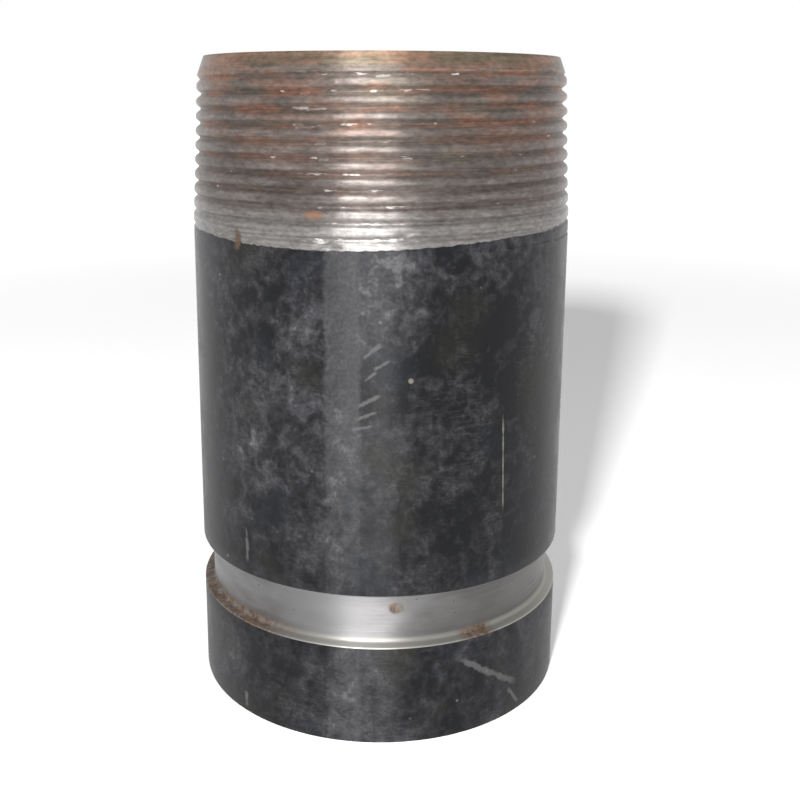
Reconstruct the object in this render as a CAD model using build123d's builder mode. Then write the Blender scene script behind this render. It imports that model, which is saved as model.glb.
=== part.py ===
"""Steel pipe nipple, 2 inch nominal and 4 inches long: taper pipe thread above, cut groove below.

The nipple is one solid and stands on its grooved end. The origin is the centre of that end's face
and +Z runs up the pipe's axis to the threaded end. Sizes are in millimetres, angles in degrees.
"""

import os
from math import atan, ceil, cos, degrees, radians, sin, tan

from build123d import *

inch = 25.4

# Schedule 40 pipe
outside_diameter = 60.325
wall_thickness = 3.912
nipple_length = 101.6
bore_deburr = 0.5

# Cut groove: the lip below it seats a coupling's gasket, the groove takes the coupling's keys
lip_length = 15.875
groove_width = 7.95
groove_depth = 1.5875
groove_edge_break = 0.25
lip_end_break = 0.4

# Right-hand taper pipe thread
threads_per_inch = 11.5
taper_on_diameter = 1 / 16
crest_flat_in_pitches = 0.038
root_flat_in_pitches = 0.038
flank_angle = 30
run_out_in_pitches = 3.47
end_chamfer_height = 1.75
end_chamfer_below_root = 0.1

# Where the first crest stands: its depth below the face, at this angle round the pipe
crest_depth = 1.9
crest_angle = -90

# How far the thread cutter stands clear of the crests
cutter_clearance = 0.9

outside_radius = outside_diameter / 2
bore_radius = outside_radius - wall_thickness
groove_radius = outside_radius - groove_depth
groove_top = lip_length + groove_width

# The taper pipe thread's standard gives its pitch diameter at the threaded end's face and the length
# of its full-depth part, measured down from that face, by the pipe's outside diameter in inches
pitch = inch / threads_per_inch
crest_flat = crest_flat_in_pitches * pitch
root_flat = root_flat_in_pitches * pitch
flank_slope = tan(radians(flank_angle))
thread_height = (pitch - crest_flat - root_flat) / 2 / flank_slope
taper_slope = taper_on_diameter / 2
pitch_diameter_at_face = outside_diameter - (0.05 * outside_diameter / inch + 1.1) * pitch
full_depth_length = (0.8 * outside_diameter / inch + 6.8) * pitch
run_out_length = run_out_in_pitches * pitch
root_radius_at_face = (pitch_diameter_at_face - thread_height) / 2
crest_radius_at_face = root_radius_at_face + thread_height
root_radius_at_full_depth = root_radius_at_face + full_depth_length * taper_slope
run_out_slope = (outside_radius - root_radius_at_full_depth) / run_out_length

# The crests' cone leaves the pipe's outside at this depth and meets the end chamfer at the next
cone_depth = (outside_radius - crest_radius_at_face) / taper_slope
chamfer_radius = root_radius_at_face - end_chamfer_below_root
chamfer_slope = (crest_radius_at_face - chamfer_radius) / end_chamfer_height
chamfer_depth = (crest_radius_at_face - chamfer_radius) / (chamfer_slope - taper_slope)

# The cutter's section, as (height above the root, distance along the axis), going round it. Its flanks
# run a little past the crests, and half a crest flat is left free between one turn's mouth and the next
half_root = root_flat / 2
half_mouth = pitch / 2 - crest_flat / 4
flank_top = (half_mouth - half_root) / flank_slope
cutter_top = thread_height + cutter_clearance
cutter_corners = [
    (0, -half_root),
    (flank_top, -half_mouth),
    (cutter_top, -half_mouth),
    (cutter_top, half_mouth),
    (flank_top, half_mouth),
    (0, half_root),
]

# The cutter's path in turns: negative turns are the run-out, turn 0 is where the full depth begins,
# and the last turn stands above the pipe's end
turns_above_start = ceil(full_depth_length / pitch) + 1
run_out_steps = ceil(run_out_in_pitches)
path_turns = [run_out_in_pitches * (step / run_out_steps - 1) for step in range(run_out_steps)]
path_turns += range(turns_above_start + 1)
depth_of_first_root = crest_depth + pitch / 2
start_angle = crest_angle + 360 * (depth_of_first_root - full_depth_length) / pitch


def slope_at(turn):
    """How fast the root closes in on the axis going up, from this turn on."""
    return run_out_slope if turn < 0 else taper_slope


def root_radius(turn):
    """Radius of the thread's root at this turn of the path."""
    return root_radius_at_full_depth - turn * pitch * slope_at(turn)


def path_height(turn):
    """Height of the root's middle above the grooved end at this turn of the path."""
    return nipple_length - full_depth_length + turn * pitch


def corner_point(turn, corner):
    """One corner of the cutter's section at this turn of the path."""
    radius = root_radius(turn) + corner[0]
    angle = radians(start_angle + 360 * turn)
    return Vector(radius * cos(angle), radius * sin(angle), path_height(turn) + corner[1])


def corner_helix(turn, next_turn, corner):
    """The line that one corner of the cutter's section draws from one turn to the next."""
    cone = atan(slope_at(turn))
    helix = Edge.make_helix(
        pitch / cos(cone),
        (next_turn - turn) * pitch,
        root_radius(turn) + corner[0],
        center=(0, 0, path_height(turn) + corner[1]),
        angle=-degrees(cone),
    )
    return helix.rotate(Axis.Z, start_angle + 360 * turn)


# Thread cutter: the helical strips between its corners, turn by turn, and a flat face at each end
cutter_faces = []
for turn, next_turn in zip(path_turns, path_turns[1:]):
    helices = [corner_helix(turn, next_turn, corner) for corner in cutter_corners]
    for near, far in zip(helices, helices[1:] + helices[:1]):
        cutter_faces.append(Face.make_surface_from_curves(near, far))
for turn in (path_turns[0], path_turns[-1]):
    outline = [corner_point(turn, corner) for corner in cutter_corners]
    cutter_faces.append(Face(Wire.make_polygon(outline)))
thread_cutter = Solid(Shell(cutter_faces))

with BuildPart() as pipe_nipple:
    # The pipe's section with its lip, groove, crest cone and ends, turned round the axis
    with BuildSketch(Plane.XZ):
        with BuildLine():
            Polyline(
                (bore_radius, bore_deburr),
                (bore_radius + bore_deburr, 0),
                (outside_radius - lip_end_break, 0),
                (outside_radius, lip_end_break),
                (outside_radius, lip_length - groove_edge_break),
                (outside_radius - groove_edge_break, lip_length),
                (groove_radius, lip_length),
                (groove_radius, groove_top),
                (outside_radius - groove_edge_break, groove_top),
                (outside_radius, groove_top + groove_edge_break),
                (outside_radius, nipple_length - cone_depth),
                (crest_radius_at_face + chamfer_depth * taper_slope, nipple_length - chamfer_depth),
                (chamfer_radius, nipple_length),
                (bore_radius + bore_deburr, nipple_length),
                (bore_radius, nipple_length - bore_deburr),
                close=True,
            )
        make_face()
    revolve(axis=Axis.Z)

    # The thread
    add(thread_cutter, mode=Mode.SUBTRACT)

print("pipe_nipple", round(pipe_nipple.part.volume, 1), "mm3, valid", pipe_nipple.part.is_valid)
os.makedirs("parts", exist_ok=True)
pipe_nipple.part.label = "pipe_nipple"
export_step(pipe_nipple.part, "parts/pipe_nipple.step")
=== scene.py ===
"""Looks of a black steel pipe nipple: taper pipe thread above, cut groove below, one piece of pipe."""

import math

import bpy
import numpy as np
from mathutils import Matrix, Vector, noise


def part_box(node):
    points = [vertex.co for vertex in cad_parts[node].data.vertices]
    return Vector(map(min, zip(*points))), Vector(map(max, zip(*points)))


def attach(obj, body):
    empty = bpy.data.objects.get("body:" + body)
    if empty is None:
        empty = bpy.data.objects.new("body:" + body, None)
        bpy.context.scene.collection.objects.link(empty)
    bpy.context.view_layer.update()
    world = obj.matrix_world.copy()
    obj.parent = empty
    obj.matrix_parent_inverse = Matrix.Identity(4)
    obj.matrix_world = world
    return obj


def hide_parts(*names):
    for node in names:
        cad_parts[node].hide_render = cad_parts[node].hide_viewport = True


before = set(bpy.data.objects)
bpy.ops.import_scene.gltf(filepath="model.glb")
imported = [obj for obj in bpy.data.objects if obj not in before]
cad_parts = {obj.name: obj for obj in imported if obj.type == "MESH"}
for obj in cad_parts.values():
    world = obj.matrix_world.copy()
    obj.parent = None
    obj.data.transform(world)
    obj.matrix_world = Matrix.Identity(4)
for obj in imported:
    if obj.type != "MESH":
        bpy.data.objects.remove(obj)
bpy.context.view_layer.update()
mm = 0.001

# Camera: it stands close to the pipe, just below its rim, and looks down at its middle. The photograph
# is cut from the lower part of a larger one, so the frame is shifted a little down.
camera_focus = 1064.9
camera_distance = 174.07 * mm
camera_below_rim = 6.0 * mm
camera_pitch = 0.2175
camera_roll = 0.0044
frame_side = 800
principal_point = (380.6, 332.0)

camera_data = bpy.data.cameras.new("photograph_camera")
camera_data.sensor_width = 36
camera_data.lens = camera_focus / frame_side * camera_data.sensor_width
camera_data.shift_x = (frame_side / 2 - principal_point[0]) / frame_side
camera_data.shift_y = (principal_point[1] - frame_side / 2) / frame_side
camera_data.clip_start = 0.01
camera = bpy.data.objects.new("photograph_camera", camera_data)
bpy.context.scene.collection.objects.link(camera)
camera_place = Matrix.Translation((0, -camera_distance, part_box("pipe_nipple")[1].z - camera_below_rim))
camera_turn = Matrix.Rotation(math.pi / 2 - camera_pitch, 4, "X") @ Matrix.Rotation(camera_roll, 4, "Z")
camera.matrix_world = camera_place @ camera_turn
bpy.context.scene.camera = camera

# Pipe nipple: a cut length of welded black steel pipe. A die has cut its taper thread, which runs out
# into the barrel, and a lathe tool its groove, both through the black coating down to bare steel.
nipple_length = 101.6 * mm
outside_radius = 30.1625 * mm
bore_radius = 26.2505 * mm
pitch = 25.4 * mm / 11.5
root_slope = 0.064
first_crest_depth = 1.9 * mm
root_radius_at_face = 28.05 * mm
full_depth_length = 19.215 * mm
run_out_slope = 0.115
crest_radius_at_face = 28.9 * mm
crest_slope = 0.053
flank_slope = math.tan(math.radians(30))
half_root = 0.17 * mm
crest_rounding = 0.62 * mm
root_rounding = 0.36 * mm
wear_depth = 0.07 * mm
nick_size = (0.9 * mm, 0.35 * mm, 0.2 * mm)
nicks = ((-8.5, 25.9), (-6.9, 26.1), (-2.2, 25.9), (3.4, 24.4), (7.8, 22.9), (-14.0, 18.7), (12.6, 20.6), (19.0, 14.3))
chamfer_radius = 27.95 * mm
chamfer_slope = 0.36
first_root_fill = 0.45 * mm
thread_end_depth = 27.6 * mm
rows_per_turn = 16
steps_per_turn = 240
turns = 15
turns_below_face = 13


def deselect_everything():
    if bpy.context.mode != "OBJECT":
        bpy.ops.object.mode_set(mode="OBJECT")
    bpy.ops.object.select_all(action="DESELECT")


def root_radius(depth):
    """Radius of the thread's root at this depth below the threaded end's face."""
    full = root_radius_at_face + np.minimum(depth, full_depth_length) * root_slope
    worn = first_root_fill * np.clip((4.6 * mm - depth) / (1.6 * mm), 0, 1)
    return full + worn + np.maximum(depth - full_depth_length, 0) * run_out_slope


def smooth_low(a, b, rounding):
    """The lower of two values, with a rounded change from one to the other."""
    near = np.maximum(rounding - np.abs(a - b), 0)
    return np.minimum(a, b) - near**2 / (4 * rounding)


# The thread's ribbon: one pitch of pipe wall, wound up the pipe with the screw modifier
first_root_height = nipple_length - first_crest_depth - (0.5 + turns_below_face) * pitch
deselect_everything()
bpy.ops.mesh.primitive_plane_add(
    size=pitch, location=(0, -outside_radius, first_root_height + pitch / 2), rotation=(0, math.pi / 2, 0)
)
nipple = bpy.context.object
nipple.name = nipple.data.name = "pipe_nipple_steel"
bpy.ops.object.transform_apply(location=True, rotation=True, scale=True)
for vertex in nipple.data.vertices:
    vertex.select = vertex.co.y > -outside_radius
for edge in nipple.data.edges:
    edge.select = False
for face in nipple.data.polygons:
    face.select = False
bpy.ops.object.mode_set(mode="EDIT")
bpy.ops.mesh.select_mode(type="VERT")
bpy.ops.mesh.delete(type="VERT")
bpy.ops.mesh.select_all(action="SELECT")
bpy.ops.transform.translate(value=(0, pitch / 2, 0))
bpy.ops.mesh.subdivide(number_cuts=rows_per_turn - 1)
bpy.ops.object.mode_set(mode="OBJECT")
winding = nipple.modifiers.new("winding", "SCREW")
winding.axis = "Z"
winding.angle = 2 * math.pi
winding.screw_offset = pitch
winding.iterations = turns
winding.steps = winding.render_steps = steps_per_turn
winding.use_smooth_shade = True
bpy.ops.object.modifier_apply(modifier=winding.name)
bpy.ops.object.mode_set(mode="EDIT")
bpy.ops.mesh.select_all(action="SELECT")
bpy.ops.mesh.remove_doubles(threshold=0.004 * mm)
bpy.ops.object.mode_set(mode="OBJECT")

# Each vertex knows its row in the ribbon and its turn from where it stands, and moves to the thread's
# section there: root, flank, rounded crest. Where the thread runs out, the rows spread evenly again
count = len(nipple.data.vertices)
places = np.empty(count * 3)
nipple.data.vertices.foreach_get("co", places)
places = places.reshape(-1, 3)
angle = np.arctan2(places[:, 0], -places[:, 1])
angle_up = np.where(angle < -1e-4, angle + 2 * math.pi, angle)
helix_place = (places[:, 2] - first_root_height) / pitch - angle_up / (2 * math.pi)
row_number = np.rint(helix_place * rows_per_turn)
turn_number = np.floor(row_number / rows_per_turn)
row = row_number - turn_number * rows_per_turn
upper_half = row > rows_per_turn / 2
root_turn = turn_number + upper_half
row_from_root = np.where(upper_half, rows_per_turn - row, row)
root_height = first_root_height + (root_turn + angle_up / (2 * math.pi)) * pitch
side = np.where(upper_half, -1, 1)
root_here = np.minimum(root_radius(nipple_length - root_height), outside_radius)
even_reach = row_from_root * pitch / rows_per_turn
crest_here = np.minimum(
    crest_radius_at_face + (nipple_length - root_height - side * even_reach) * crest_slope, outside_radius
)
thread_height = np.maximum(crest_here - root_here, 0)
flank_reach = thread_height * flank_slope
half_pitch = pitch / 2
flank_top = np.minimum(half_root + flank_reach, half_pitch - 0.1 * mm)
section = np.stack([
    np.zeros(count),
    np.full(count, 0.8 * half_root),
    half_root + 0.12 * flank_reach,
    half_root + 0.45 * flank_reach,
    half_root + 0.78 * flank_reach,
    flank_top,
    flank_top + 0.25 * (half_pitch - flank_top),
    flank_top + 0.60 * (half_pitch - flank_top),
    np.full(count, half_pitch),
])
reach = section[row_from_root.astype(int), np.arange(count)]
spread = np.clip(1 - thread_height / (0.35 * mm), 0, 1)
reach = reach * (1 - spread) + even_reach * spread
flank_line = root_here + (reach - half_root) / flank_slope
bottom_line = -smooth_low(-root_here, -flank_line, root_rounding)
radius = smooth_low(crest_here, bottom_line, crest_rounding)
height = root_height + side * reach
depth = nipple_length - height
for nick_around, nick_depth in nicks:
    off_around = (angle * outside_radius - nick_around * mm) / nick_size[0]
    off_depth = (depth - nick_depth * mm) / nick_size[1]
    radius = radius - nick_size[2] * np.exp(-(off_around**2) - off_depth**2)
wear = [noise.noise(Vector((x, y, 2.5 * z)) * 420) for x, y, z in np.stack([places[:, 0], places[:, 1], height], 1)]
radius = radius - wear_depth * np.abs(wear)
radius = np.where(depth > 26.95 * mm, outside_radius, radius)
radius = np.minimum(radius, chamfer_radius + depth * chamfer_slope)
places = np.stack([radius * np.sin(angle), -radius * np.cos(angle), height], 1)
nipple.data.vertices.foreach_set("co", places.ravel())
nipple.data.update()

# The ribbon is cut off flat at the pipe's end, and below the run-out, where the plain wall begins
wall_top = nipple_length - thread_end_depth
bpy.ops.object.mode_set(mode="EDIT")
bpy.ops.mesh.select_all(action="SELECT")
bpy.ops.mesh.bisect(plane_co=(0, 0, nipple_length), plane_no=(0, 0, 1), clear_outer=True, threshold=1e-7)
bpy.ops.mesh.select_all(action="SELECT")
bpy.ops.mesh.bisect(plane_co=(0, 0, wall_top), plane_no=(0, 0, 1), clear_inner=True, threshold=1e-7)

# The rest of the pipe's outline, drawn down from that cut ring by ring: barrel, groove with its small
# corner radii, lip, broken lower edge, end face, and up through the bore to the threaded end
lip_length = 15.875 * mm
groove_width = 7.95 * mm
groove_radius = 28.575 * mm
groove_top = lip_length + groove_width
groove_corner = 0.5 * mm
edge_break = 0.25 * mm
lip_end_break = 0.4 * mm
bore_deburr = 0.5 * mm
ring_spacing = 2.4 * mm


def plain_rings(radius, from_height, to_height):
    """Rings at even heights along a plain stretch of wall, the last at its end."""
    rings = max(1, round(abs(to_height - from_height) / ring_spacing))
    return [(radius, from_height + (to_height - from_height) * ring / rings) for ring in range(1, rings + 1)]


def quarter_rings(centre_radius, centre_height, size, start_angle, steps=4):
    """Rings round a small radius in the outline, a quarter turn clockwise from start_angle in degrees."""
    turn = [math.radians(start_angle - 90 * step / steps) for step in range(steps + 1)]
    return [(centre_radius + size * math.cos(t), centre_height + size * math.sin(t)) for t in turn]


outline = plain_rings(outside_radius, wall_top, groove_top + edge_break)
outline += [
    (outside_radius - 0.3 * edge_break, groove_top + 0.3 * edge_break),
    (outside_radius - edge_break, groove_top),
]
outline += [
    (groove_radius + groove_corner - r_out, groove_top - groove_corner + r_up)
    for r_out, r_up in (
        (0, groove_corner),
        (0.383 * groove_corner, 0.924 * groove_corner),
        (0.707 * groove_corner, 0.707 * groove_corner),
        (0.924 * groove_corner, 0.383 * groove_corner),
        (groove_corner, 0),
    )
]
outline += plain_rings(groove_radius, groove_top - groove_corner, lip_length + groove_corner)
outline += [
    (groove_radius + groove_corner - r_out, lip_length + groove_corner - r_down)
    for r_out, r_down in (
        (0.924 * groove_corner, 0.383 * groove_corner),
        (0.707 * groove_corner, 0.707 * groove_corner),
        (0.383 * groove_corner, 0.924 * groove_corner),
        (0, groove_corner),
    )
]
outline += [
    (outside_radius - edge_break, lip_length),
    (outside_radius - 0.3 * edge_break, lip_length - 0.3 * edge_break),
    (outside_radius, lip_length - edge_break),
]
outline += plain_rings(outside_radius, lip_length - edge_break, lip_end_break)
outline += [
    (outside_radius - 0.1 * lip_end_break, 0.5 * lip_end_break),
    (outside_radius - 0.5 * lip_end_break, 0.1 * lip_end_break),
    (outside_radius - lip_end_break, 0),
    (0.5 * (outside_radius + bore_radius), 0),
    (bore_radius + bore_deburr, 0),
    (bore_radius, bore_deburr),
]
outline += plain_rings(bore_radius, bore_deburr, nipple_length - bore_deburr)
outline += [(bore_radius + bore_deburr, nipple_length)]
ring_radius, ring_height = outside_radius, wall_top
for next_radius, next_height in outline:
    rise = next_height - ring_height
    bpy.ops.mesh.extrude_region_move(TRANSFORM_OT_translate={"value": (0, 0, rise)})
    scale = next_radius / ring_radius
    bpy.ops.transform.resize(value=(scale, scale, 1), center_override=(0, 0, next_height))
    ring_radius, ring_height = next_radius, next_height
bpy.ops.mesh.select_all(action="DESELECT")
bpy.ops.mesh.select_non_manifold(extend=False)
bpy.ops.mesh.bridge_edge_loops()
bpy.ops.mesh.select_all(action="SELECT")
bpy.ops.mesh.remove_doubles(threshold=0.002 * mm)
bpy.ops.mesh.normals_make_consistent(inside=False)
bpy.ops.mesh.select_all(action="DESELECT")
bpy.ops.mesh.select_non_manifold(extend=False)
bpy.ops.object.mode_set(mode="OBJECT")
print("open edges", sum(e.select for e in nipple.data.edges), "faces", len(nipple.data.polygons))
nipple.data.calc_loop_triangles()
print("triangles", len(nipple.data.loop_triangles))
bpy.ops.object.shade_smooth_by_angle(angle=math.radians(35))

# How far up from the thread's root towards its crest each vertex lies, for the colours of the cut
count = len(nipple.data.vertices)
places = np.empty(count * 3)
nipple.data.vertices.foreach_get("co", places)
places = places.reshape(-1, 3)
radius = np.hypot(places[:, 0], places[:, 1])
depth = nipple_length - places[:, 2]
root_here = np.minimum(root_radius(depth), outside_radius)
crest_here = np.minimum(crest_radius_at_face + depth * crest_slope, outside_radius)
ridge = np.clip((radius - root_here) / np.maximum(crest_here - root_here, 0.05 * mm), 0, 1)
ridge[depth > thread_end_depth - 0.7 * mm] = 1
ridge = np.where(depth < 2.3 * mm, np.maximum(ridge, 0.7), ridge)
nipple.data.attributes.new("ridge", "FLOAT", "POINT").data.foreach_set("value", ridge.astype(np.float32))


def add_node(tree, kind, inputs=None, **settings):
    """A shader node with its settings; each input is set to a value or linked to another node's output."""
    node = tree.nodes.new(kind)
    for name, value in settings.items():
        setattr(node, name, value)
    for name, value in (inputs or {}).items():
        if isinstance(value, bpy.types.NodeSocket):
            tree.links.new(value, node.inputs[name])
        else:
            node.inputs[name].default_value = value
    return node


def calculate(tree, operation, *values):
    return add_node(tree, "ShaderNodeMath", dict(enumerate(values)), operation=operation).outputs[0]


def fade(tree, value, start, end, low=0, high=1):
    """A value's smooth change from low at start to high at end."""
    limits = {"Value": value, "From Min": start, "From Max": end, "To Min": low, "To Max": high}
    return add_node(tree, "ShaderNodeMapRange", limits, interpolation_type="SMOOTHSTEP").outputs[0]


def mix_colours(tree, factor, first, second, blend="MIX"):
    inputs = {0: factor, 6: first, 7: second}
    return add_node(tree, "ShaderNodeMix", inputs, data_type="RGBA", blend_type=blend).outputs[2]


def mix_values(tree, factor, first, second):
    return add_node(tree, "ShaderNodeMix", {0: factor, 2: first, 3: second}, data_type="FLOAT").outputs[0]


def noise_on(tree, place, around, up, detail=3, roughness=0.55, shift=0, distortion=0):
    """Noise whose grains are so many millimetres long round the pipe and up it."""
    scale = (1000 / around, 1000 / around, 1000 / up)
    stretched = add_node(tree, "ShaderNodeVectorMath", {0: place, 1: scale}, operation="MULTIPLY").outputs[0]
    moved = add_node(tree, "ShaderNodeVectorMath", {0: stretched, 1: (shift, 2 * shift, 3 * shift)}, operation="ADD")
    inputs = {"Vector": moved.outputs[0], "Scale": 1, "Detail": detail, "Roughness": roughness, "Distortion": distortion}
    return add_node(tree, "ShaderNodeTexNoise", inputs).outputs[0]


def new_group(name, inputs, outputs):
    """An empty node group with sockets of the given kinds, its input node and its output node."""
    tree = bpy.data.node_groups.new(name, "ShaderNodeTree")
    for direction, sockets in (("INPUT", inputs), ("OUTPUT", outputs)):
        for socket, kind in sockets.items():
            tree.interface.new_socket(name=socket, in_out=direction, socket_type="NodeSocket" + kind)
    return tree, tree.nodes.new("NodeGroupInput"), tree.nodes.new("NodeGroupOutput")


# Group: a point's place on the pipe in millimetres, round it from the front, up it and out from its axis
pipe_place, given, result = new_group(
    "pipe_place", {"Place": "Vector"}, {"Around": "Float", "Up": "Float", "Out": "Float"}
)
parts = add_node(pipe_place, "ShaderNodeSeparateXYZ", {0: given.outputs["Place"]})
front = calculate(pipe_place, "MULTIPLY", parts.outputs["Y"], -1)
turned = calculate(pipe_place, "ARCTAN2", parts.outputs["X"], front)
flat = add_node(pipe_place, "ShaderNodeCombineXYZ", {0: parts.outputs["X"], 1: parts.outputs["Y"]})
out = add_node(pipe_place, "ShaderNodeVectorMath", {0: flat.outputs[0]}, operation="LENGTH").outputs["Value"]
for socket, value, factor in (
    ("Around", turned, outside_radius / mm),
    ("Up", parts.outputs["Z"], 1 / mm),
    ("Out", out, 1 / mm),
):
    pipe_place.links.new(calculate(pipe_place, "MULTIPLY", value, factor), result.inputs[socket])

# Group: one straight scrape or run at a given place, in millimetres and degrees, with ragged sides
scrape, given, result = new_group(
    "scrape",
    {"Around": "Float", "Up": "Float", "Ragged": "Float", "At Around": "Float", "At Up": "Float",
     "Half Length": "Float", "Half Width": "Float", "Tilt": "Float"},
    {"Mask": "Float"},
)
tilt = calculate(scrape, "RADIANS", given.outputs["Tilt"])
cosine, sine = calculate(scrape, "COSINE", tilt), calculate(scrape, "SINE", tilt)
off_around = calculate(scrape, "SUBTRACT", given.outputs["Around"], given.outputs["At Around"])
off_up = calculate(scrape, "SUBTRACT", given.outputs["Up"], given.outputs["At Up"])
along = calculate(
    scrape, "ADD", calculate(scrape, "MULTIPLY", off_around, cosine), calculate(scrape, "MULTIPLY", off_up, sine)
)
across = calculate(
    scrape, "SUBTRACT", calculate(scrape, "MULTIPLY", off_up, cosine), calculate(scrape, "MULTIPLY", off_around, sine)
)
length_share = calculate(scrape, "DIVIDE", calculate(scrape, "ABSOLUTE", along), given.outputs["Half Length"])
width_share = calculate(scrape, "DIVIDE", calculate(scrape, "ABSOLUTE", across), given.outputs["Half Width"])
ragged = calculate(scrape, "MULTIPLY_ADD", given.outputs["Ragged"], 2.4, -1.2)
width_share = calculate(scrape, "ADD", width_share, ragged)
mask = calculate(scrape, "MULTIPLY", fade(scrape, length_share, 1, 0.6), fade(scrape, width_share, 1.1, 0.3))
scrape.links.new(mask, result.inputs["Mask"])


def scrapes_on(tree, place, ragged, marks):
    """The masks of several scrapes laid over each other: (around, up, half length, half width, tilt)."""
    covered = None
    for around, up, half_length, half_width, tilt in marks:
        inputs = {
            "Around": place.outputs["Around"], "Up": place.outputs["Up"], "Ragged": ragged, "At Around": around,
            "At Up": up, "Half Length": half_length, "Half Width": half_width, "Tilt": tilt,
        }
        node = tree.nodes.new("ShaderNodeGroup")
        node.node_tree = scrape
        for name, value in inputs.items():
            if isinstance(value, bpy.types.NodeSocket):
                tree.links.new(value, node.inputs[name])
            else:
                node.inputs[name].default_value = value
        covered = node.outputs[0] if covered is None else calculate(tree, "MAXIMUM", covered, node.outputs[0])
    return covered


def blotch(tree, place, at_around, at_up, wide, high, ragged=0.5):
    """A round soft patch at a place on the pipe: 1 at its middle, 0 outside."""
    off_around = calculate(tree, "DIVIDE", calculate(tree, "SUBTRACT", place.outputs["Around"], at_around), wide)
    off_up = calculate(tree, "DIVIDE", calculate(tree, "SUBTRACT", place.outputs["Up"], at_up), high)
    off = calculate(tree, "ADD", calculate(tree, "POWER", off_around, 2), calculate(tree, "POWER", off_up, 2))
    uneven = calculate(tree, "MULTIPLY_ADD", ragged, 1.4, -0.7)
    return fade(tree, calculate(tree, "ADD", off, uneven), 1.2, 0.1)


def start_material(name):
    """A material's tree and shader, with the object's coordinates and the place on the pipe."""
    material = bpy.data.materials.new(name)
    material.use_nodes = True
    tree = material.node_tree
    shader = tree.nodes["Principled BSDF"]
    spot = add_node(tree, "ShaderNodeTexCoord").outputs["Object"]
    place = tree.nodes.new("ShaderNodeGroup")
    place.node_tree = pipe_place
    tree.links.new(spot, place.inputs["Place"])
    return material, tree, shader, spot, place


def finish_shader(tree, shader, values):
    for name, value in values.items():
        tree.links.new(value, shader.inputs[name])


# Outside wall: black coating, and above it the cut thread in bare steel with brown oxide
wall, tree, shader, spot, place = start_material("black_coating_and_cut_thread")
around, up, out = (place.outputs[name] for name in ("Around", "Up", "Out"))
below_face = calculate(tree, "SUBTRACT", nipple_length / mm, up)
ridge_share = add_node(tree, "ShaderNodeAttribute", attribute_name="ridge").outputs["Fac"]
fine = noise_on(tree, spot, 0.5, 0.5, detail=3)
ragged = noise_on(tree, spot, 1.3, 1.3, detail=3, shift=4)
patches = noise_on(tree, spot, 9, 12, detail=3, roughness=0.55, shift=7, distortion=0.4)
swirls = noise_on(tree, spot, 3.0, 3.2, detail=4, roughness=0.55, shift=31, distortion=0.7)
blots = noise_on(tree, spot, 1.1, 1.0, detail=3, roughness=0.55, shift=37, distortion=0.4)
clouds = noise_on(tree, spot, 18, 30, detail=2, shift=11)
strokes = noise_on(tree, spot, 0.9, 7, detail=4, roughness=0.65, shift=3, distortion=0.4)
hatching = noise_on(tree, spot, 5, 0.8, detail=3, roughness=0.6, shift=5, distortion=0.6)

# coating colours
mottle = calculate(tree, "MULTIPLY_ADD", swirls, 0.42, calculate(tree, "MULTIPLY", patches, 0.36))
mottle = calculate(tree, "MULTIPLY_ADD", blots, 0.25, calculate(tree, "SUBTRACT", mottle, 0.022))
mottle = calculate(tree, "ADD", mottle, fade(tree, clouds, 0.3, 0.7, -0.035, 0.035))
mottle = calculate(tree, "ADD", mottle, fade(tree, strokes, 0.3, 0.7, -0.012, 0.012))
mottle = calculate(
    tree, "MULTIPLY_ADD", calculate(tree, "SUBTRACT", mottle, 0.5), fade(tree, up, 25, 62, 0.80, 1.08), 0.5
)
# Soft patches that lift or lower the coating's tone: the large lift at the front of the upper barrel is a painted
# highlight, and the dips on the right side are painted shade; the rest lift or lower it a little at the places listed.
for at_around, at_up, wide, high, painted_light_and_tone_lift in (
    (1.5, 68.0, 8, 10, 0.115), (-12.0, 68.0, 5, 9, 0.045), (-16.0, 45.0, 9, 10, 0.030), (-28.0, 12.0, 9, 8, 0.030),
    (17.0, 60.0, 12, 14, -0.030), (19.0, 36.0, 12, 14, -0.020), (-21.0, 62.0, 7, 10, -0.020), (1.0, 30.0, 8, 8, 0.015),
):
    painted_light_and_tone_patch = calculate(tree, "MULTIPLY", blotch(tree, place, at_around, at_up, wide, high), painted_light_and_tone_lift)
    mottle = calculate(tree, "ADD", mottle, painted_light_and_tone_patch)
# A lighter upright stripe with ragged sides, 5.4 mm left of the front, down the whole barrel and lip.
stripe_off = calculate(tree, "ABSOLUTE", calculate(tree, "SUBTRACT", around, -5.4))
stripe_off = calculate(tree, "MULTIPLY_ADD", ragged, 1.2, calculate(tree, "SUBTRACT", stripe_off, 0.6))
lighter_upright_stripe = fade(tree, stripe_off, 2.9, 2.1)
mottle = calculate(tree, "MULTIPLY_ADD", lighter_upright_stripe, 0.038, mottle)
coat = mix_colours(tree, fade(tree, mottle, 0.42, 0.52), (0.0028, 0.0031, 0.0045, 1), (0.020, 0.020, 0.023, 1))
coat = mix_colours(tree, fade(tree, mottle, 0.50, 0.59), coat, (0.050, 0.050, 0.055, 1))
coat = mix_colours(tree, fade(tree, mottle, 0.59, 0.68), coat, (0.12, 0.12, 0.126, 1))
tint = noise_on(tree, spot, 12, 12, detail=3, shift=23)
coat = mix_colours(tree, fade(tree, tint, 0.56, 0.70, 0, 0.5), coat, (0.017, 0.016, 0.011, 1))
coat = mix_colours(tree, fade(tree, tint, 0.44, 0.32, 0, 0.5), coat, (0.008, 0.011, 0.017, 1))
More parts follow.
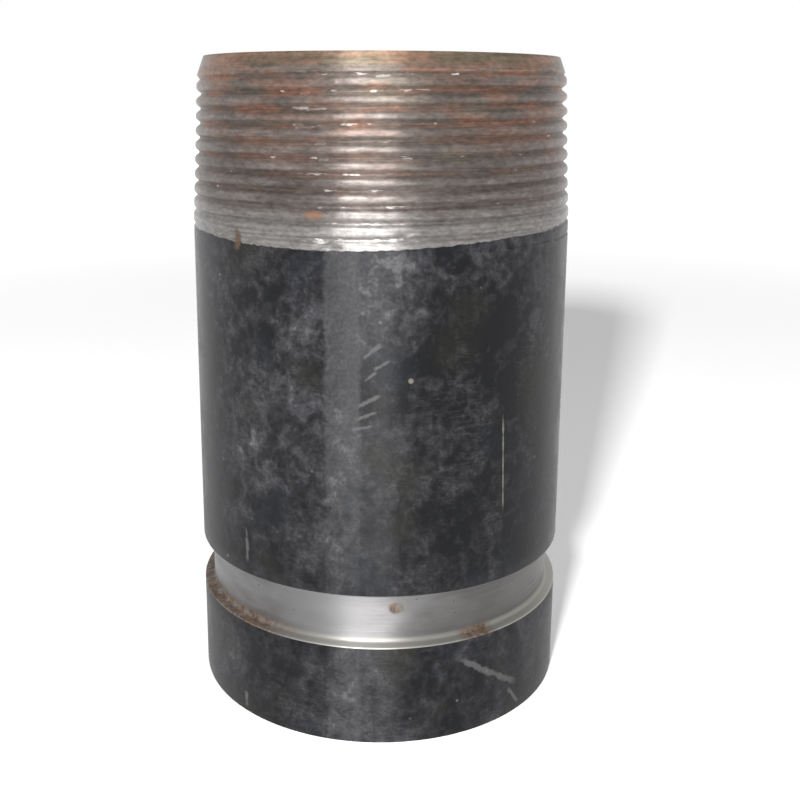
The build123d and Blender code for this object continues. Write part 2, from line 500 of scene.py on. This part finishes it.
# The upright stripe's colour, lighter towards the top of the barrel.
coat = mix_colours(tree, calculate(tree, "MULTIPLY", lighter_upright_stripe, fade(tree, up, 30, 62, 0.12, 0.60)), coat, (0.070, 0.070, 0.074, 1))
lines = calculate(tree, "ABSOLUTE", calculate(tree, "SUBTRACT", hatching, 0.5))
lines = calculate(tree, "MULTIPLY", fade(tree, lines, 0.035, 0.0), fade(tree, patches, 0.50, 0.60))
coat = mix_colours(tree, calculate(tree, "MULTIPLY", lines, 0.22), coat, (0.11, 0.11, 0.11, 1))
grain = fade(tree, fine, 0.30, 0.70, 0.75, 1.25)
coat_grain = add_node(tree, "ShaderNodeCombineColor", {0: grain, 1: grain, 2: grain}).outputs[0]
coat = mix_colours(tree, 1.0, coat, coat_grain, blend="MULTIPLY")
specks = add_node(tree, "ShaderNodeTexVoronoi", {"Vector": spot, "Scale": 420})
speck = calculate(
    tree, "MULTIPLY", fade(tree, specks.outputs["Distance"], 0.14, 0.05),
    fade(tree, add_node(tree, "ShaderNodeSeparateColor", {0: specks.outputs["Color"]}).outputs[0], 0.80, 0.95),
)
coat = mix_colours(tree, calculate(tree, "MULTIPLY", speck, 0.5), coat, (0.22, 0.22, 0.20, 1))
scratched = scrapes_on(tree, place, ragged, (
    (18.1, 9.0, 8.0, 0.55, -33), (23.5, 3.0, 2.4, 0.40, -52), (-22.2, 28.7, 3.0, 0.4, 91), (-23.2, 2.3, 1.5, 0.4, 91),
    (-1.2, 61.0, 1.9, 0.35, 38), (0.2, 59.0, 1.5, 0.3, 30), (-1.4, 57.4, 1.2, 0.25, 40),
    (-1.6, 53.8, 2.0, 0.35, 30), (-2.0, 51.6, 1.8, 0.3, 22), (-2.6, 49.8, 1.8, 0.35, 12),
))
coat = mix_colours(tree, calculate(tree, "MULTIPLY", scratched, 0.62), coat, (0.15, 0.15, 0.145, 1))
thin_marks = scrapes_on(tree, place, ragged, ((19.6, 42.5, 8.2, 0.17, 92),))
thin_marks = calculate(tree, "MAXIMUM", thin_marks, blotch(tree, place, 4.3, 56.7, 0.45, 0.45))
coat = mix_colours(tree, calculate(tree, "MULTIPLY", thin_marks, 0.8), coat, (0.26, 0.25, 0.20, 1))
coat_roughness = fade(tree, mottle, 0.40, 0.66, 0.38, 0.55)

# bare steel colours
steel_tone = noise_on(tree, spot, 7, 3.0, detail=4, roughness=0.6, shift=13)
crest_steel = mix_colours(tree, fade(tree, steel_tone, 0.35, 0.65), (0.125, 0.107, 0.098, 1), (0.190, 0.168, 0.156, 1))
clean = fade(tree, below_face, 19.0, 24.5)
crest_steel = mix_colours(tree, calculate(tree, "MULTIPLY", clean, 0.85), crest_steel, (0.235, 0.226, 0.220, 1))
oxide_tone = noise_on(tree, spot, 11, 2.4, detail=4, roughness=0.6, shift=17)
valley_tone = noise_on(tree, spot, 6, 2.0, detail=3, roughness=0.6, shift=29)
oxide = mix_colours(tree, fade(tree, oxide_tone, 0.38, 0.60), (0.20, 0.172, 0.140, 1), (0.30, 0.165, 0.118, 1))
dull = mix_colours(tree, fade(tree, valley_tone, 0.38, 0.62), (0.130, 0.108, 0.098, 1), (0.195, 0.163, 0.148, 1))
near_face = fade(tree, below_face, 22, 5, 0.05, 0.9)
coppery = calculate(tree, "MULTIPLY", near_face, fade(tree, oxide_tone, 0.38, 0.58, 0.25, 1))
for at_around, at_up, wide, high in ((12.5, 93.5, 4.5, 2.4), (10.5, 88.0, 3.0, 1.5), (-9.5, 79.7, 1.6, 0.9), (3.0, 96.5, 7.0, 3.0)):
    coppery = calculate(tree, "MAXIMUM", coppery, blotch(tree, place, at_around, at_up, wide, high, steel_tone))
valley_steel = mix_colours(tree, coppery, dull, oxide)
in_valley = calculate(tree, "MULTIPLY", fade(tree, ridge_share, 0.93, 0.45), fade(tree, below_face, 23.0, 19.5))
filmed = calculate(tree, "MAXIMUM", in_valley, calculate(tree, "MULTIPLY", coppery, 0.65))
bare = mix_colours(tree, filmed, crest_steel, valley_steel)
rim_brown = fade(tree, below_face, 2.4, 1.2, 0, 0.85)
rim_tone = mix_colours(tree, fade(tree, oxide_tone, 0.4, 0.6), (0.155, 0.125, 0.083, 1), (0.24, 0.145, 0.100, 1))
bare = mix_colours(tree, rim_brown, bare, rim_tone)
speckle = noise_on(tree, spot, 1.3, 0.5, detail=4, roughness=0.7, shift=41)
grit = fade(tree, speckle, 0.32, 0.68, 0.76, 1.24)
bare_grit = add_node(tree, "ShaderNodeCombineColor", {0: grit, 1: grit, 2: grit}).outputs[0]
bare = mix_colours(tree, 1.0, bare, bare_grit, blend="MULTIPLY")
# Thin dark lines along the thread's roots on its upper part: painted shade in the roots.
painted_root_shade = calculate(tree, "MULTIPLY", fade(tree, ridge_share, 0.30, 0.08), fade(tree, below_face, 21.5, 18))
painted_root_shade = calculate(tree, "MULTIPLY", painted_root_shade, fade(tree, valley_tone, 0.35, 0.60, 0.05, 0.35))
bare = mix_colours(tree, painted_root_shade, bare, (0.060, 0.050, 0.045, 1))
tool_lines = noise_on(tree, spot, 18, 0.5, detail=3, roughness=0.6, shift=6)
bare_lines = fade(tree, tool_lines, 0.35, 0.65, 0.86, 1.14)
bare_lines = add_node(tree, "ShaderNodeCombineColor", {0: bare_lines, 1: bare_lines, 2: bare_lines}).outputs[0]
bare = mix_colours(tree, 1.0, bare, bare_lines, blend="MULTIPLY")
# Broken near-white dashes along the thread's roots, kept to the front, and short near-white dashes at listed places:
# painted highlights and painted glints, smoother and fully metallic.
dashes = noise_on(tree, spot, 2.6, 0.9, detail=2, shift=19)
highlight_front_offset = fade(tree, calculate(tree, "ABSOLUTE", calculate(tree, "ADD", around, 3)), 15, 6, 0.10, 0)
painted_highlights = calculate(tree, "MULTIPLY", fade(tree, ridge_share, 0.16, 0.05), fade(tree, calculate(tree, "SUBTRACT", dashes, highlight_front_offset), 0.57, 0.68))
glints = scrapes_on(tree, place, ragged, (
    (-9.4, 93.9, 1.7, 0.17, 3), (-11.1, 91.5, 1.6, 0.17, 3), (-8.7, 89.3, 0.9, 0.15, 3), (-8.2, 87.2, 0.8, 0.14, 3),
    (0.2, 98.3, 1.2, 0.16, 3), (-11.2, 96.0, 0.8, 0.15, 3), (10.6, 98.6, 0.7, 0.15, 3), (3.7, 87.4, 0.8, 0.16, 3),
))
painted_highlights = calculate(tree, "MAXIMUM", painted_highlights, glints)
bare = mix_colours(tree, painted_highlights, bare, (0.75, 0.72, 0.70, 1))
bare = mix_colours(tree, calculate(tree, "MULTIPLY", blotch(tree, place, -9.5, 79.8, 1.7, 0.6, speckle), 0.65), bare, (0.32, 0.165, 0.105, 1))
bare_roughness = mix_values(tree, filmed, 0.42, 0.50)
bare_roughness = mix_values(tree, painted_highlights, bare_roughness, 0.25)
filmed = calculate(tree, "MAXIMUM", filmed, rim_brown)
bare_metal = mix_values(tree, filmed, 1.0, 0.75)
bare_metal = mix_values(tree, painted_highlights, bare_metal, 1.0)

# where the coating ends
around_angle = calculate(tree, "MULTIPLY", around, mm / outside_radius)
edge = calculate(tree, "MULTIPLY_ADD", calculate(tree, "COSINE", calculate(tree, "ADD", around_angle, 0.45)), 1.3, 24.9)
second = calculate(tree, "COSINE", calculate(tree, "MULTIPLY_ADD", around_angle, 2, 0.5))
edge = calculate(tree, "MULTIPLY_ADD", second, 0.5, edge)
edge = calculate(tree, "MULTIPLY_ADD", ragged, 0.7, calculate(tree, "SUBTRACT", edge, 0.35))
above_edge = fade(tree, calculate(tree, "SUBTRACT", below_face, edge), 0.08, -0.08)
cut_into = fade(tree, out, 30.12, 30.08)
cut_into = calculate(tree, "MULTIPLY", cut_into, fade(tree, calculate(tree, "SUBTRACT", below_face, edge), 0.7, 0.2))
bared = calculate(tree, "MAXIMUM", above_edge, cut_into)
rust_run = scrapes_on(tree, place, ragged, ((-22.8, 75.6, 1.9, 0.9, 88),))

colour = mix_colours(tree, bared, coat, bare)
colour = mix_colours(tree, calculate(tree, "MULTIPLY", rust_run, 0.75), colour, (0.12, 0.07, 0.04, 1))
bump_height = calculate(tree, "MULTIPLY_ADD", fine, 0.5, calculate(tree, "MULTIPLY", swirls, 0.5))
finish_shader(tree, shader, {
    "Base Color": colour,
    "Metallic": calculate(tree, "MULTIPLY", bared, bare_metal),
    "Roughness": mix_values(tree, bared, coat_roughness, bare_roughness),
    "Normal": add_node(tree, "ShaderNodeBump", {"Height": bump_height, "Distance": 0.00004, "Strength": 1}).outputs[0],
})
shader.inputs["Specular IOR Level"].default_value = 0.22
shader.inputs["Anisotropic"].default_value = 0.85
shader.inputs["Anisotropic Rotation"].default_value = 0.25
tree.links.new(add_node(tree, "ShaderNodeTangent", direction_type="RADIAL", axis="Z").outputs[0], shader.inputs["Tangent"])

# Groove: turned bright steel
groove_steel, tree, shader, spot, place = start_material("turned_groove_steel")
around, up, out = (place.outputs[name] for name in ("Around", "Up", "Out"))
tone = noise_on(tree, spot, 9, 4, detail=4, shift=2)
tool_lines = noise_on(tree, spot, 40, 0.25, detail=3, shift=6)
fine = noise_on(tree, spot, 0.6, 0.6, detail=3)
ragged = noise_on(tree, spot, 1.2, 1.2, detail=3, shift=4)
turned_steel = mix_colours(tree, fade(tree, tone, 0.35, 0.65), (0.175, 0.170, 0.168, 1), (0.235, 0.232, 0.232, 1))
rust_tone = mix_colours(tree, fade(tree, fine, 0.4, 0.6), (0.075, 0.042, 0.024, 1), (0.20, 0.115, 0.065, 1))
# A lighter patch on the groove left of the front is a painted highlight, and the groove darker from 5 mm right of the
# front round to the back is painted shade.
painted_highlight_patch = blotch(tree, place, -8, 20, 9, 9, tone)
turned_steel = mix_colours(tree, calculate(tree, "MULTIPLY", painted_highlight_patch, 0.7), turned_steel, (0.26, 0.257, 0.262, 1))
shaded = fade(tree, around, 5, 16)
turned_steel = mix_colours(tree, calculate(tree, "MULTIPLY", shaded, 0.6), turned_steel, (0.135, 0.130, 0.126, 1))
pits = add_node(tree, "ShaderNodeTexVoronoi", {"Vector": spot, "Scale": 700})
pit = calculate(
    tree, "MULTIPLY", fade(tree, pits.outputs["Distance"], 0.16, 0.06),
    fade(tree, add_node(tree, "ShaderNodeSeparateColor", {0: pits.outputs["Color"]}).outputs[0], 0.78, 0.92),
)
turned_steel = mix_colours(tree, calculate(tree, "MULTIPLY", pit, 0.7), turned_steel, (0.03, 0.025, 0.02, 1))
# The up-facing ledge at the groove's foot much lighter: painted highlight.
ledge_painted_highlight = fade(tree, up, 16.9, 16.2)
turned_steel = mix_colours(tree, calculate(tree, "MULTIPLY", ledge_painted_highlight, 0.8), turned_steel, (0.40, 0.39, 0.36, 1))
left_rust = calculate(tree, "MULTIPLY", fade(tree, around, -10, -22), fade(tree, around, -62, -44))
left_rust = calculate(tree, "MULTIPLY", left_rust, fade(tree, up, 17.6, 16.4))
right_rust = calculate(tree, "MULTIPLY", fade(tree, calculate(tree, "ABSOLUTE", calculate(tree, "SUBTRACT", around, 16)), 4, 1.5), fade(tree, up, 17.0, 16.3))
spot_rust = blotch(tree, place, 2.6, 21.4, 1.35, 1.05, ragged)
rusted = calculate(tree, "MAXIMUM", calculate(tree, "MAXIMUM", left_rust, right_rust), spot_rust)
rusted = calculate(tree, "MULTIPLY", rusted, fade(tree, ragged, 0.30, 0.55, 0.4, 1))
colour = mix_colours(tree, calculate(tree, "MULTIPLY", rusted, 0.85), turned_steel, rust_tone)
bump_height = calculate(tree, "MULTIPLY_ADD", fine, 0.3, tool_lines)
finish_shader(tree, shader, {
    "Base Color": colour,
    "Metallic": fade(tree, rusted, 0, 1, 1, 0.35),
    "Roughness": mix_values(tree, rusted, fade(tree, tool_lines, 0.3, 0.7, 0.42, 0.54), 0.7),
    "Normal": add_node(tree, "ShaderNodeBump", {"Height": bump_height, "Distance": 0.00002, "Strength": 1}).outputs[0],
})

shader.inputs["Anisotropic"].default_value = 0.82
shader.inputs["Anisotropic Rotation"].default_value = 0.25
tree.links.new(add_node(tree, "ShaderNodeTangent", direction_type="RADIAL", axis="Z").outputs[0], shader.inputs["Tangent"])

# End faces and bore: sawn steel, dark scale inside
end_steel, tree, shader, spot, place = start_material("cut_end_and_bore")
around, up, out = (place.outputs[name] for name in ("Around", "Up", "Out"))
tone = noise_on(tree, spot, 3, 3, detail=4, shift=2)
fine = noise_on(tree, spot, 0.5, 0.5, detail=3)
inside = fade(tree, out, 26.45, 26.3)
end_colour = mix_colours(tree, fade(tree, tone, 0.35, 0.65), (0.26, 0.22, 0.19, 1), (0.38, 0.35, 0.33, 1))
scale_colour = mix_colours(tree, fade(tree, tone, 0.35, 0.65), (0.02, 0.02, 0.021, 1), (0.06, 0.045, 0.038, 1))
finish_shader(tree, shader, {
    "Base Color": mix_colours(tree, inside, end_colour, scale_colour),
    "Metallic": fade(tree, inside, 0, 1, 1, 0.2),
    "Roughness": mix_values(tree, inside, 0.4, 0.6),
    "Normal": add_node(tree, "ShaderNodeBump", {"Height": fine, "Distance": 0.00003, "Strength": 1}).outputs[0],
})

for material in (wall, groove_steel, end_steel):
    nipple.data.materials.append(material)
for face in nipple.data.polygons:
    out_here = math.hypot(face.center.x, face.center.y)
    if out_here < bore_radius + 0.52 * mm or (abs(face.normal.z) > 0.9 and (face.center.z < 0.05 * mm or face.center.z > nipple_length - 0.05 * mm)):
        face.material_index = 2
    elif lip_length - edge_break < face.center.z < groove_top + edge_break:
        face.material_index = 1
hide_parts("pipe_nipple")
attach(nipple, "root")

# Floor: a plain pale sheet under the nipple
deselect_everything()
bpy.ops.mesh.primitive_grid_add(x_subdivisions=4, y_subdivisions=4, size=12, location=(0, 0, 0))
floor = bpy.context.object
floor.name = "pale_floor"
floor_paint = bpy.data.materials.new("pale_floor")
floor_paint.use_nodes = True
tree = floor_paint.node_tree
rays = add_node(tree, "ShaderNodeLightPath")
seen = calculate(tree, "MAXIMUM", rays.outputs["Is Camera Ray"], rays.outputs["Is Glossy Ray"])
seen = calculate(tree, "MAXIMUM", seen, rays.outputs["Is Transmission Ray"])
pale = mix_values(tree, seen, 0.8, 2.8)
pale = add_node(tree, "ShaderNodeCombineColor", {0: pale, 1: pale, 2: pale}).outputs[0]
away = add_node(tree, "ShaderNodeVectorMath", {0: add_node(tree, "ShaderNodeTexCoord").outputs["Object"]}, operation="LENGTH")
glow = calculate(tree, "MULTIPLY", seen, fade(tree, away.outputs["Value"], 0.26, 1.2, 0, 1))
sheet = add_node(tree, "ShaderNodeBsdfDiffuse", {"Color": pale})
far_glow = add_node(tree, "ShaderNodeEmission", {"Strength": glow})
both = add_node(tree, "ShaderNodeAddShader", {0: sheet.outputs[0], 1: far_glow.outputs[0]})
tree.links.new(both.outputs[0], tree.nodes["Material Output"].inputs["Surface"])
floor.data.materials.append(floor_paint)

world = bpy.data.worlds.new("studio")
bpy.context.scene.world = world
world.use_nodes = True
tree = world.node_tree
rays = add_node(tree, "ShaderNodeLightPath")
seen = calculate(tree, "MAXIMUM", rays.outputs["Is Camera Ray"], rays.outputs["Is Glossy Ray"])
seen = calculate(tree, "MAXIMUM", seen, rays.outputs["Is Transmission Ray"])
background = tree.nodes["Background"]
background.inputs["Color"].default_value = (1, 1, 1, 1)
tree.links.new(mix_values(tree, seen, 0.12, 1.0), background.inputs["Strength"])


def add_lamp(name, azimuth, elevation, distance, width, height, power):
    """An area lamp that faces the nipple's middle, its azimuth counted from the camera's side to the right."""
    lamp = bpy.data.lights.new(name, "AREA")
    lamp.shape = "RECTANGLE"
    lamp.size, lamp.size_y, lamp.energy = width, height, power
    holder = bpy.data.objects.new(name, lamp)
    bpy.context.scene.collection.objects.link(holder)
    a, e = math.radians(azimuth), math.radians(elevation)
    away = Vector((math.sin(a) * math.cos(e), -math.cos(a) * math.cos(e), math.sin(e)))
    aim = Vector((0, 0, nipple_length / 2))
    holder.location = aim + away * distance
    holder.rotation_mode = "QUATERNION"
    holder.rotation_quaternion = away.to_track_quat("Z", "Y")
    return holder


add_lamp("window", -16, 18, 3.0, 0.24, 0.24, 57)
add_lamp("front_fill", 1, 8, 1.6, 0.26, 0.50, 14)

bpy.context.scene.view_settings.view_transform = "Standard"
